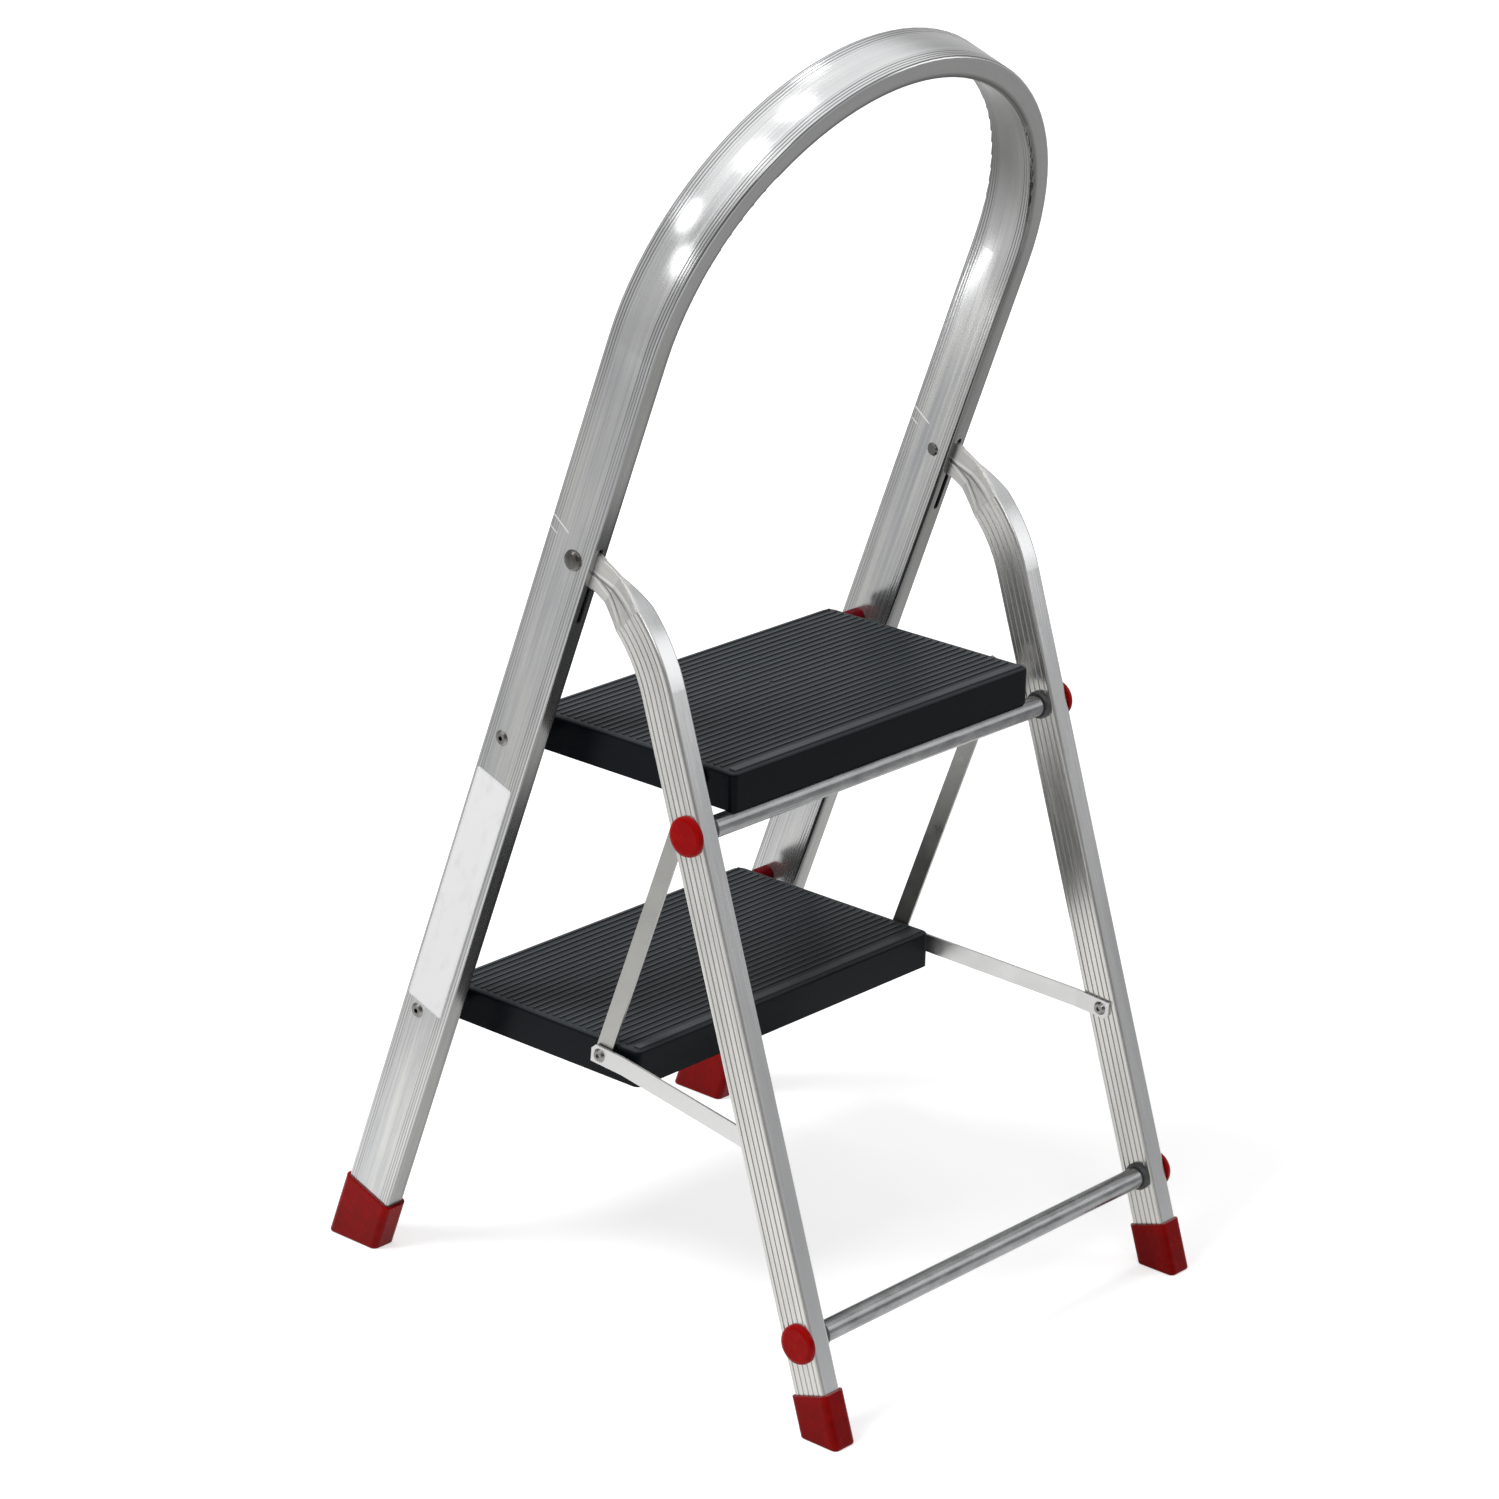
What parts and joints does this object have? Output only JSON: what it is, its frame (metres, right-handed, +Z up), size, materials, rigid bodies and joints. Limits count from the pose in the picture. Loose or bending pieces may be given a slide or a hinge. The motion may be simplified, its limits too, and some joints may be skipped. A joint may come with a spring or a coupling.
{
  "type": "folding step ladder",
  "caption": "Folding step ladder of aluminium tube with a bent handrail hoop, moulded steps on linking straps and a rear frame that folds flat behind the hoop.",
  "frame": {"origin": "on the floor, midway between the feet in width and depth", "axes": "+Z up, +Y to the rear feet, X along the steps; the climber stands at -Y"},
  "size_m": [0.44, 0.5437, 1.0079],
  "materials": {
    "hoop_aluminium": "drawn, lengthwise brushed",
    "leg_aluminium": "drawn, fluted",
    "strap_aluminium": "rolled, plain",
    "cross_tube_metal": "drawn round tube",
    "rivet_steel": "zinc plated",
    "red_plastic": "moulded, semi-gloss",
    "step_plastic": "moulded, satin",
    "collar_plastic": "moulded",
    "spacer_plastic": "moulded"
  },
  "bodies": {
    "hoop": {"hoop_frame": "hoop_aluminium", "hoop_foot_right": "red_plastic", "hoop_foot_left": "red_plastic", "step_bush_upper_right": "red_plastic", "step_bush_upper_left": "red_plastic", "step_bush_lower_right": "red_plastic", "step_bush_lower_left": "red_plastic", "upper_step_rivets": "rivet_steel", "lower_step_rivets": "rivet_steel", "pivot_rivets": "rivet_steel", "pivot_spacers": "spacer_plastic"},
    "rear_frame": {"rear_leg_right": "leg_aluminium", "rear_leg_left": "leg_aluminium", "upper_cross_tube": "cross_tube_metal", "lower_cross_tube": "cross_tube_metal", "upper_tube_collars": "collar_plastic", "lower_tube_collars": "collar_plastic", "tube_cap_upper_right": "red_plastic", "tube_cap_upper_left": "red_plastic", "tube_cap_lower_right": "red_plastic", "tube_cap_lower_left": "red_plastic", "rear_foot_right": "red_plastic", "rear_foot_left": "red_plastic", "stay_leg_rivets": "rivet_steel"},
    "upper_step": {"upper_step": "step_plastic", "upper_strap_pins": "rivet_steel"},
    "lower_step": {"lower_step": "step_plastic", "lower_strap_pins": "rivet_steel"},
    "lift_straps": {"lift_strap_right": "strap_aluminium", "lift_strap_left": "strap_aluminium"},
    "stay_straps": {"stay_strap_right": "strap_aluminium", "stay_strap_left": "strap_aluminium", "stay_front_rivets": "rivet_steel"}
  },
  "joints": [
    {"name": "rear_frame_fold", "type": "hinge", "parent": "hoop", "child": "rear_frame", "pos_m": [0, -0.00795, 0.62933], "axis": [-1, 0, 0], "range_deg": [0, 36.15]},
    {"name": "upper_step_fold", "type": "hinge", "parent": "hoop", "child": "upper_step", "pos_m": [0, -0.07994, 0.47249], "axis": [1, 0, 0], "range_deg": [0, 65.76]},
    {"name": "lower_step_fold", "type": "hinge", "parent": "hoop", "child": "lower_step", "pos_m": [0, -0.17074, 0.223], "axis": [1, 0, 0], "range_deg": [0, 65.76]},
    {"name": "lift_strap_swing", "type": "hinge", "parent": "lower_step", "child": "lift_straps", "pos_m": [0, -0.00919, 0.223], "axis": [-1, 0, 0], "range_deg": [0, 65.76]},
    {"name": "stay_strap_swing", "type": "hinge", "parent": "rear_frame", "child": "stay_straps", "pos_m": [0, 0.18585, 0.20784], "axis": [-1, 0, 0], "range_deg": [0, 48.23]}
  ],
  "couplings": [
    {"joint": "upper_step_fold", "follows": "rear_frame_fold", "ratio": 1.8178},
    {"joint": "lower_step_fold", "follows": "rear_frame_fold", "ratio": 1.8178},
    {"joint": "lift_strap_swing", "follows": "rear_frame_fold", "ratio": 1.8178},
    {"joint": "stay_strap_swing", "follows": "rear_frame_fold", "ratio": 1.3326}
  ]
}
